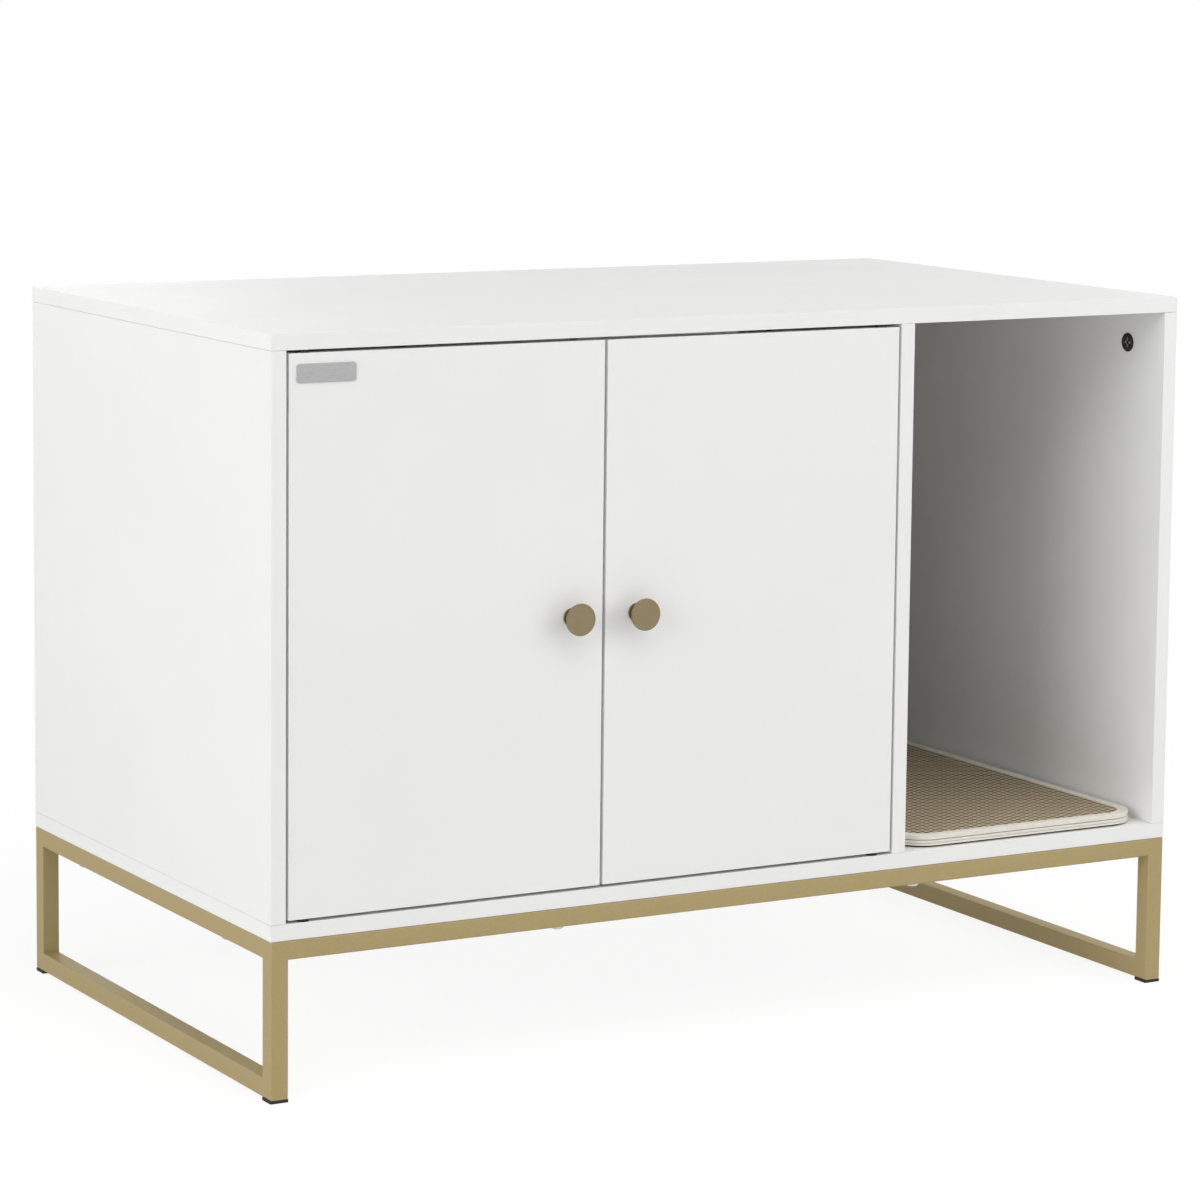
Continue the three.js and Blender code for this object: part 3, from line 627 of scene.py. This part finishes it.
def dome(radius, low, high, steps=5):
    """The rings of a low domed head, from its edge towards its middle."""
    rings = []
    for step in range(steps):
        angle = math.radians(DOME_TURN * step / (steps - 1))
        share = DOME_MIDDLE + (1 - DOME_MIDDLE) * math.cos(angle)
        rings.append((radius * share, low + (high - low) * math.sin(angle)))
    return rings


def set_under(pattern, nodes, level):
    """Stands a copy of a screw or bolt at each node, its head at this level and facing down."""
    for node in nodes:
        piece = stand(twin(pattern, f"{node}_finished"), (*centre(node).xy, level), DOWN)
        fit(piece, "cabinet", "zinc_steel", node)
    discard(pattern)


def cam_lock():
    """The cap of a cam lock: a thin disc with a chamfered edge, a ring round a sunk face, and
    a cross-shaped opening round a small hub."""
    piece = turned("cam", [(7.5, -12), (7.5, 0.2), (9.5, 0.2), (9.6, 0.3), (9.6, 0.6),
                           (8.9, CAM_CAP), (8.2, CAM_CAP), (7.9, 1.1), (7.6, 1.1)])
    combine(piece, cross_cutter(span=12.4, width=3.1, top=1.1, depth=1.5), "DIFFERENCE")
    combine(piece, turned("hub", [(1.7, -1), (1.7, 0.9), (1.4, 1.1)], steps=24), "UNION")
    return smooth(piece)


def cam_core():
    """The metal core seen through the cap's opening."""
    return smooth(turned("core", [(6.6, -1.2), (6.6, 0.4), (6.4, 0.55), (2.0, 0.55), (1.8, 0.3)],
                         steps=48))


bolt = fastener("bolt", [(3, -26), (3, 0), (6.5, 0), *dome(6.5, 0.9, 3.4)],
                radius=6.5, top=3.4, depth=1.8)
set_under(bolt, BOLTS, RAIL_UNDERSIDE)
screw = fastener("screw", [(1.2, -49), (2.5, -46), (2.5, -3.2), (5, -0.4), (4.9, -0.2)],
                 radius=5, top=-0.2, depth=1.6)
set_under(screw, SCREWS, BASE_TOP)

cam, core = cam_lock(), cam_core()
for node in [f"{place}_cam_lock" for place in UPRIGHT_ENDS]:
    low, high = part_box(node)
    if node.startswith("left_side"):
        facing, face = RIGHT, high.x - CAM_CAP * MM
    else:
        facing, face = LEFT, low.x + CAM_CAP * MM
    for pattern, suffix, slot in ((cam, "finished", "black_plastic"), (core, "core", "grey_plate")):
        piece = stand(twin(pattern, f"{node}_{suffix}"), (face, *centre(node).yz), facing)
        fit(piece, "cabinet", slot, node)
discard(cam, core)


# ---------------------------------------------------------------- door fittings

KNOB_RADIUS, KNOB_PROJECTION = 15.25, 19  # millimetres
FLARE_STEPS = 18
PLATE_CORNER = 3 * MM
PLATE_EDGE = 0.3 * MM
CATCH_ROUND = 1.2 * MM
CATCH_GAP = 0.2 * MM  # the catch's rounded top stays this far below the panel


def knob_profile():
    """A short foot, a narrow waist that flares like a trumpet, a thin rim and a flat face."""
    foot = [(8.4, 0.2), (8.7, 0.5), (8.7, 1.4), (8.2, 1.9)]
    start, end = Vector((7.0, 2.1)), Vector((KNOB_RADIUS, KNOB_PROJECTION - 2))
    pull, push = Vector((4.4, 7.0)), Vector((6.6, KNOB_PROJECTION - 2.2))
    flare = []
    for step in range(FLARE_STEPS + 1):
        t = step / FLARE_STEPS
        flare.append(tuple(start * (1 - t) ** 3 + pull * 3 * t * (1 - t) ** 2
                           + push * 3 * t * t * (1 - t) + end * t ** 3))
    rim = [(KNOB_RADIUS, KNOB_PROJECTION - 0.6), (KNOB_RADIUS - 0.15, KNOB_PROJECTION - 0.2),
           (KNOB_RADIUS - 0.5, KNOB_PROJECTION)]
    return foot + flare + rim


def door_hardware():
    """A knob on each door's face, and its screw and the catch's strike disc on its rear."""
    knob = smooth(turned("knob", knob_profile(), steps=96), angle=30)
    screw = fastener("knob_screw", [(2, -20), (2, 0.2), (4.2, 0.2), *dome(4.2, 1.0, 2.6)],
                     radius=4.2, top=2.6, depth=1.5)
    disc = smooth(turned("strike_disc", [(1.5, -8), (1.5, 0.2), (6.8, 0.2), (7, 0.4), (7, 1.2),
                                         (6.7, 1.5), (2.2, 1.5), (1.2, 0.9)]))
    for side in SIDES:
        for pattern, part, slot, level, facing in (
            (knob, "knob", "bronze_metal", DOOR_FACE, FRONT),
            (screw, "knob_screw", "zinc_steel", DOOR_REAR, BACK),
            (disc, "strike_disc", "zinc_steel", DOOR_REAR, BACK),
        ):
            node = f"{side}_{part}"
            middle = centre(node)
            piece = stand(twin(pattern, f"{node}_finished"), (middle.x, level, middle.z), facing)
            fit(piece, f"{side}_door", slot, node)
    discard(knob, screw, disc)


def pivots(side):
    """Nylon pins in the ends of a door, each with a collar, and the bushes they turn in."""
    door = f"{side}_door"
    pin = smooth(turned("pin", [(4, 14), (4, -0.2), (4.9, -0.2), (5, -0.4), (5, -2.3),
                                (4.9, -2.5), (2.5, -2.5), (2.5, -10.6), (2.1, -11)], steps=48))
    bush = smooth(turned("bush", [(6, -11), (6, -0.2), (5.8, 0), (3.1, 0), (2.8, -0.3),
                                  (2.8, -9)], steps=48))
    low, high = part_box(door)
    floor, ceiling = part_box("bottom_panel")[1].z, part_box("top_panel")[0].z
    for end, door_end, board, facing in (("lower", low.z, floor, UP),
                                         ("upper", high.z, ceiling, DOWN)):
        for pattern, part, body, level in ((pin, "pin", door, door_end),
                                           (bush, "bush", "cabinet", board)):
            node = f"{side}_{end}_pivot_{part}"
            piece = stand(twin(pattern, f"{node}_finished"), (*centre(node).xy, level), facing)
            fit(piece, body, "black_plastic", node)
    discard(pin, bush)


def name_plate():
    """A bare plate with rounded corners and a softened front edge."""
    low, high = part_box("name_plate")
    piece = block("name_plate_bare", low, high)
    round_edges(piece, along(1), PLATE_CORNER, segments=8)
    round_edges(piece, in_plane(1, low.y), PLATE_EDGE)
    fit(smooth(piece), "left_door", "grey_plate", "name_plate")


def magnetic_catch():
    """A moulded housing under the top panel, with the round end of a magnet for each door."""
    node = "magnetic_catch"
    low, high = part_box(node)
    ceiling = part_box("top_panel")[0].z
    piece = block("catch_housing", low, (high.x, high.y, ceiling - CATCH_GAP))
    round_edges(piece, lambda edge: True, CATCH_ROUND, segments=4)
    fit(smooth(piece), "cabinet", "white_plastic", node)
    magnet = smooth(turned("magnet", [(5, -4), (5, 0.1), (4.8, 0.35), (3.4, 0.35), (3.3, 0.2)],
                           steps=48))
    for side in SIDES:
        disc = centre(f"{side}_strike_disc")
        piece = stand(twin(magnet, f"{side}_catch_magnet"), (disc.x, low.y, disc.z), FRONT)
        fit(piece, "cabinet", "zinc_steel")
    discard(magnet)


door_hardware()
for side in SIDES:
    pivots(side)
name_plate()
magnetic_catch()


# ---------------------------------------------------------------- mat

MAT_LOW, MAT_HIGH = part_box("mat_base")
MAT_TOP = MAT_HIGH.z + FOAM_RISE
HONEYCOMB_BOTTOM = MAT_LOW.z + 3.9 * MM
MAT_CORNER = 35 * MM
MAT_BORDER = 11 * MM
SHADE_SHEET = 1.7 * MM  # black sheet under the edging: painted shade that stands for the shadow line under the mat
SHADE_SHEET_INSET = 4 * MM  # the black sheet stays this far inside the mat's edge, so a real shadow gap lies over it too
LAYER_GAP = 0.7 * MM  # line between two layers of the edging
EDGING_DROP = 5.3 * MM  # top of the mat to the line under its edging's cover strip
STRIP_LINE = MAT_TOP - EDGING_DROP
SHEET_TUCK = 2 * MM  # the lower sheet reaches this far under the edging
CELL_TUCK = 3 * MM  # a cell whose middle is this far under the edging is still there
HOLE_PITCH_X, HOLE_PITCH_Y = 7.9 * MM, 7.7 * MM
HOLE_CORNER = 0.9 * MM
RIDGE = 2.3 * MM  # foam left between two holes

# name, underside and top, and the radii of the lower and upper outer edges
EDGING = [
    ("mat_cover_strip", STRIP_LINE + LAYER_GAP, MAT_TOP, 0.4 * MM, 0.9 * MM),
    ("mat_upper_border", HONEYCOMB_BOTTOM + LAYER_GAP / 2, STRIP_LINE, 0.25 * MM, 0.4 * MM),
    ("mat_lower_border", MAT_LOW.z + SHADE_SHEET, HONEYCOMB_BOTTOM, 0.3 * MM, 0.25 * MM),
]


def mat_border(name, bottom, top, lower_radius, upper_radius):
    """One layer of the foam edging: a frame with rounded corners and softened edges."""
    piece = block(name, (*MAT_LOW.xy, bottom), (*MAT_HIGH.xy, top))
    round_edges(piece, along(2), MAT_CORNER, segments=16)
    with editing(piece):
        pick(piece, "faces", lambda face: abs(face.normal.z) > 0.9)
        bpy.ops.mesh.inset(thickness=MAT_BORDER, depth=0)
        bpy.ops.mesh.bridge_edge_loops()
    for level, radius in ((bottom, lower_radius), (top, upper_radius)):
        round_edges(piece, lambda edge: in_plane(2, level)(edge) and any(
            abs(face.normal.z) < 0.1 for face in edge.link_faces), radius)
    return smooth(piece, angle=40)


def nearest_hole(point, origin):
    """The middle of the hole that a point of the honeycomb belongs to."""
    best = None
    column = math.floor((point.x - origin.x) / HOLE_PITCH_X)
    for near in (column, column + 1):
        shift = HOLE_PITCH_Y / 2 if near % 2 else 0
        row = round((point.y - origin.y - shift) / HOLE_PITCH_Y)
        middle = Vector((origin.x + near * HOLE_PITCH_X, origin.y + shift + row * HOLE_PITCH_Y))
        if best is None or (middle - point.xy).length < (best - point.xy).length:
            best = middle
    return best


def in_border(place, tuck):
    """Whether a place lies inside the mat's edging, or under it by less than the tuck."""
    inset = MAT_BORDER - tuck
    corner = MAT_CORNER - inset
    middle = (MAT_LOW + MAT_HIGH) / 2
    half = (MAT_HIGH - MAT_LOW) / 2
    past = Vector((max(abs(place.x - middle.x) - (half.x - inset - corner), 0),
                   max(abs(place.y - middle.y) - (half.y - inset - corner), 0)))
    return past.length < corner


def honeycomb_cell(depth):
    """One hexagonal cell, its top at the origin: a ridge round a hole with blunt corners,
    whose rim is softened and whose wall narrows a little downwards."""
    bpy.ops.mesh.primitive_circle_add(
        vertices=6, radius=1, fill_type="NGON", rotation=(0, 0, math.pi / 2))
    cell = named(bpy.context.active_object, "mat_honeycomb_sheet")
    apply_place(cell)
    # stretched so that staggered cells meet side to side
    cell.scale = (HOLE_PITCH_X * 2 / 3, HOLE_PITCH_Y / 2 / math.sin(math.pi / 3), 1)
    apply_place(cell)
    with editing(cell):
        bpy.ops.mesh.select_all(action="SELECT")
        bpy.ops.mesh.inset(thickness=RIDGE / 2, depth=0)
        bpy.ops.mesh.bevel(offset=HOLE_CORNER, segments=1, affect="VERTICES")
        pick(cell, "faces", lambda face: len(face.verts) == 12)
        # the softened rim and then the wall, each with its drop and its taper
        for drop, shrink in ((0.25 * MM, 0.95), (depth - 0.3 * MM, 0.97)):
            bpy.ops.mesh.extrude_region_move(TRANSFORM_OT_translate={"value": (0, 0, -drop)})
            bpy.ops.transform.resize(value=(shrink, shrink, 1), center_override=(0, 0, 0))
    return cell


def honeycomb():
    """The mat's upper foam sheet: cells laid out in staggered columns, cut whole to the
    border and closed underneath."""
    depth = HONEYCOMB_TOP - HONEYCOMB_BOTTOM
    piece = honeycomb_cell(depth)
    size = MAT_HIGH - MAT_LOW
    columns = math.ceil(size.x / HOLE_PITCH_X / 2) + 1
    rows = math.ceil(size.y / HOLE_PITCH_Y) + 1
    for count, step in ((2, (HOLE_PITCH_X, HOLE_PITCH_Y / 2, 0)),
                        (columns, (2 * HOLE_PITCH_X, 0, 0)),
                        (rows, (0, HOLE_PITCH_Y, 0))):
        apply_modifier(piece, "ARRAY", count=count, use_relative_offset=False,
                       use_constant_offset=True, constant_offset_displace=step)
    origin = Vector((MAT_LOW.x, MAT_LOW.y, HONEYCOMB_TOP))
    stand(piece, origin)
    with editing(piece):
        pick(piece, "faces", lambda face: not in_border(
            nearest_hole(face.calc_center_median(), origin), CELL_TUCK))
        bpy.ops.mesh.delete(type="FACE")
        bpy.ops.mesh.select_all(action="SELECT")
        bpy.ops.mesh.remove_doubles(threshold=HAIR)
        pick(piece, "edges", lambda edge: len(edge.link_faces) == 1)
        bpy.ops.mesh.extrude_region_move(TRANSFORM_OT_translate={"value": (0, 0, -depth)})
        bpy.ops.mesh.edge_face_add()
        bpy.ops.mesh.select_all(action="SELECT")
        bpy.ops.mesh.normals_make_consistent(inside=False)
    alone(piece)
    bpy.ops.object.shade_smooth_by_angle(angle=math.radians(35))
    return piece


def plain_sheet(name, inset, bottom, top):
    """A plain foam sheet with the mat's rounded corners, set in from its edge."""
    step = Vector((inset, inset))
    piece = block(name, (*(MAT_LOW.xy + step), bottom), (*(MAT_HIGH.xy - step), top))
    round_edges(piece, along(2), MAT_CORNER - inset, segments=16)
    return smooth(piece)


edging = [mat_border(*layer) for layer in EDGING]
for layer in edging:
    fit(layer, "mat", "cream_binding", "mat_base")
sheet = honeycomb()
fit(sheet, "mat", "tan_foam", "mat_honeycomb")
catcher = plain_sheet("mat_lower_sheet", MAT_BORDER - SHEET_TUCK,
                      MAT_LOW.z + SHADE_SHEET, HONEYCOMB_BOTTOM - LAYER_GAP)
fit(catcher, "mat", "tan_foam", "mat_base")
# painted shade: a black rubber sheet under the mat for the dark shadow line along its edge
shade_sheet = plain_sheet("mat_shade_sheet", SHADE_SHEET_INSET, MAT_LOW.z, MAT_LOW.z + SHADE_SHEET)
fit(shade_sheet, "mat", "black_rubber", "mat_base")


# ---------------------------------------------------------------- studio

FLOOR_RADIUS = 30
FLOOR_GLOW = 0.88  # of white: the cabinet's shadow takes away from the rest only
SHADOW_NEAR, SHADOW_FAR = 0.8, 1.6  # metres out to where the shadow fades, and is gone
ROOM_LIGHT = 0.05

# The photograph's view, found by fitting a camera to points of the cabinet.
CAMERA_PLACE = (-2.0689, -3.6002, 1.0442)
CAMERA_AZIMUTH, CAMERA_ELEVATION, CAMERA_ROLL = -28.948, 6.911, 0.496
SENSOR_WIDTH, LENS_LENGTH = 36, 125.06  # millimetres
SHIFT_X, SHIFT_Y = 0.05, -0.125

LOOK_AT = Vector((0, 0, 0.35))
LIGHT_DISTANCE = 6

# name, azimuth and elevation in degrees, size in metres, and power in watts
SOFTBOXES = [
    ("left_key", -75, 12, 5.0, 268),
    ("right_fill", 60, 14, 7.0, 282),
    ("front_top", -10, 60, 6.5, 212),
    ("back_right", 115, 8, 4.5, 90),
    ("back", 180, 8, 4.5, 95),
]


def direction(azimuth, elevation):
    """The way out from the cabinet at these degrees. Azimuth 0 is the front, 90 the right."""
    a, e = math.radians(azimuth), math.radians(elevation)
    return Vector((math.sin(a) * math.cos(e), -math.cos(a) * math.cos(e), math.sin(e)))


def looked_at(tree):
    """1 where the camera, a reflection or clear glass looks, and 0 for light on the way."""
    seen = add(tree, "ShaderNodeLightPath", {}, {}).outputs
    looks = seen["Is Camera Ray"]
    for kind in ("Is Glossy Ray", "Is Transmission Ray"):
        looks = add(tree, "ShaderNodeMath", {"operation": "MAXIMUM"}, {0: looks, 1: seen[kind]})
    return looks


def floor_finish():
    """Pale studio floor: pure white to the camera, with the cabinet's soft shadow close by."""
    material = bpy.data.materials.new("studio_floor")
    material.use_nodes = True
    tree = material.node_tree
    tree.nodes.clear()
    lit = add(tree, "ShaderNodeBsdfDiffuse", {}, {"Color": linear("#E6E6E6")})
    caught = add(tree, "ShaderNodeBsdfDiffuse", {}, {"Color": linear("#6E6E6E")})
    glow = add(tree, "ShaderNodeEmission", {}, {
        "Color": linear("#FFFFFF"), "Strength": FLOOR_GLOW})
    near = add(tree, "ShaderNodeAddShader", {}, {0: caught, 1: glow})
    white = add(tree, "ShaderNodeEmission", {}, {"Color": linear("#FFFFFF"), "Strength": 1.0})
    place = add(tree, "ShaderNodeTexCoord", {}, {}).outputs["Object"]
    distance = add(tree, "ShaderNodeVectorMath", {"operation": "LENGTH"}, {0: place})
    far = add(tree, "ShaderNodeMapRange", {}, {
        "Value": distance.outputs["Value"], "From Min": SHADOW_NEAR, "From Max": SHADOW_FAR})
    shown = add(tree, "ShaderNodeMixShader", {}, {0: far, 1: near, 2: white})
    mix = add(tree, "ShaderNodeMixShader", {}, {0: looked_at(tree), 1: lit, 2: shown})
    add(tree, "ShaderNodeOutputMaterial", {}, {"Surface": mix})
    return material


def studio_floor():
    """A wide round floor under the cabinet."""
    bpy.ops.mesh.primitive_circle_add(vertices=64, radius=FLOOR_RADIUS, fill_type="NGON")
    floor = named(bpy.context.active_object, "studio_floor")
    floor.data.materials.append(floor_finish())


def studio_world():
    """An even grey room for the light, which the camera and reflections see as white."""
    world = bpy.data.worlds.new("studio")
    bpy.context.scene.world = world
    world.use_nodes = True
    tree = world.node_tree
    tree.nodes.clear()
    room = add(tree, "ShaderNodeBackground", {}, {
        "Color": linear("#FFFFFF"), "Strength": ROOM_LIGHT})
    white = add(tree, "ShaderNodeBackground", {}, {"Color": linear("#FFFFFF"), "Strength": 1.0})
    mix = add(tree, "ShaderNodeMixShader", {}, {0: looked_at(tree), 1: room, 2: white})
    add(tree, "ShaderNodeOutputWorld", {}, {"Surface": mix})


def softbox(name, azimuth, elevation, size, power):
    """A square soft light that faces the cabinet."""
    away = direction(azimuth, elevation)
    light = bpy.data.lights.new(name, "AREA")
    light.size = size
    light.energy = power
    lamp = bpy.data.objects.new(name, light)
    bpy.context.scene.collection.objects.link(lamp)
    lamp.location = LOOK_AT + away * LIGHT_DISTANCE
    lamp.rotation_euler = away.to_track_quat("Z", "Y").to_euler()


def photo_camera():
    """The photograph's view: from the front left and a little above, through a long lens."""
    azimuth, roll = math.radians(CAMERA_AZIMUTH), math.radians(CAMERA_ROLL)
    back = direction(CAMERA_AZIMUTH, CAMERA_ELEVATION)
    across = Vector((math.cos(azimuth), math.sin(azimuth), 0))
    upward = back.cross(across)
    right = math.cos(roll) * across + math.sin(roll) * upward
    top = -math.sin(roll) * across + math.cos(roll) * upward
    lens = bpy.data.cameras.new("photo_lens")
    lens.sensor_width = SENSOR_WIDTH
    lens.lens = LENS_LENGTH
    lens.shift_x = SHIFT_X
    lens.shift_y = SHIFT_Y
    camera = bpy.data.objects.new("photo_camera", lens)
    bpy.context.scene.collection.objects.link(camera)
    turn = Matrix((right, top, back)).transposed().to_4x4()
    camera.matrix_world = Matrix.Translation(CAMERA_PLACE) @ turn
    bpy.context.scene.camera = camera


studio_floor()
studio_world()
for row in SOFTBOXES:
    softbox(*row)
photo_camera()
bpy.context.scene.view_settings.view_transform = "Standard"
